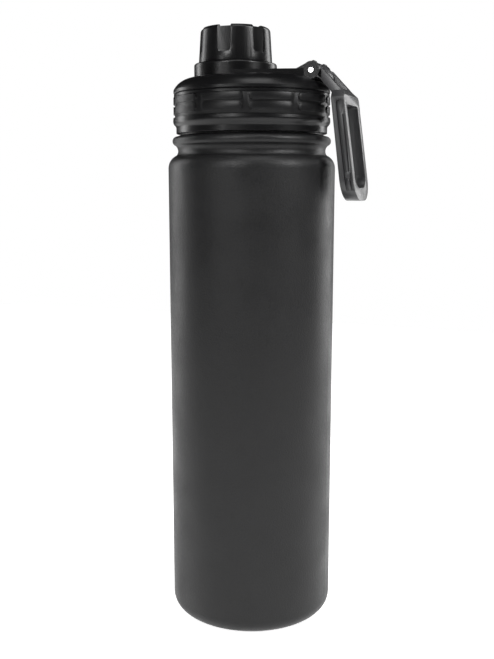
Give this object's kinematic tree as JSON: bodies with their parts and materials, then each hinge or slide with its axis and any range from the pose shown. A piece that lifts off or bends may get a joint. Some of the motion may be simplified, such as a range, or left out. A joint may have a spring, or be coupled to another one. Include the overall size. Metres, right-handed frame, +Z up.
{
  "type": "insulated water bottle",
  "caption": "Vacuum-insulated steel water bottle with screw lid, off-centre drinking spout under a fluted screw cap, and a hinged carry loop.",
  "frame": {"origin": "centre of the base ring that the bottle stands on, on the axis of the steel body", "axes": "+Z up along the body's axis, +X towards the carry loop and its hinge, +Y along the hinge pin"},
  "size_m": [0.0871, 0.073, 0.2615],
  "materials": {
    "powder_coat": "matte black powder coat with a fine grain",
    "brushed_steel": "stainless steel 18/8, fine brushed",
    "pin_steel": "stainless pin, end polished",
    "seal_glass": "fused glass solder",
    "getter_metal": "pressed metal powder",
    "foil": "thin reflective foil",
    "silicone": "soft silicone, satin",
    "lid_plastic": "black polypropylene, satin spark-eroded grain",
    "soft_grip": "black moulded soft grip, satin",
    "liner_plastic": "black polypropylene, smooth",
    "foam": "closed-cell foam core",
    "loop_plastic": "dark grey-black nylon, satin"
  },
  "bodies": {
    "bottle": {"outer_wall": "powder_coat", "outer_base": "brushed_steel", "base_cover": "powder_coat", "seal_bead": "seal_glass", "getter": "getter_metal", "getter_clip": "brushed_steel", "inner_wall": "brushed_steel", "inner_base": "brushed_steel", "heat_shield_foil": "foil"},
    "neck_seal": {"neck_gasket": "silicone"},
    "lid": {"lid_shell": "lid_plastic", "grip_band": "soft_grip", "lid_liner": "liner_plastic", "lid_foam": "foam", "spout": "liner_plastic", "spout_seal": "silicone", "hinge_pin": "pin_steel"},
    "cap_seal": {"cap_gasket": "silicone"},
    "cap": {"cap_shell": "lid_plastic", "cap_liner": "liner_plastic"},
    "loop": {"carry_loop": "loop_plastic"}
  },
  "joints": [
    {"name": "lid_lift", "type": "slide", "parent": "bottle", "child": "neck_seal", "axis": [0, 0, 1], "range_m": [0, 0.0181]},
    {"name": "lid_turn", "type": "hinge", "parent": "neck_seal", "child": "lid", "pos_m": [0, 0, 0.2167], "axis": [0, 0, 1], "range_deg": [0, 1440]},
    {"name": "cap_lift", "type": "slide", "parent": "lid", "child": "cap_seal", "axis": [0, 0, 1], "range_m": [0, 0.0121]},
    {"name": "cap_turn", "type": "hinge", "parent": "cap_seal", "child": "cap", "pos_m": [-0.0076, 0, 0.2468], "axis": [0, 0, 1], "range_deg": [0, 1080]},
    {"name": "loop_swing", "type": "hinge", "parent": "lid", "child": "loop", "pos_m": [0.02965, 0, 0.2418], "axis": [0, -1, 0], "range_deg": [0, 140]}
  ],
  "couplings": [
    {"joint": "lid_lift", "follows": "lid_turn", "m_per_rad": 0.0007162},
    {"joint": "cap_lift", "follows": "cap_turn", "m_per_rad": 0.00063662}
  ]
}
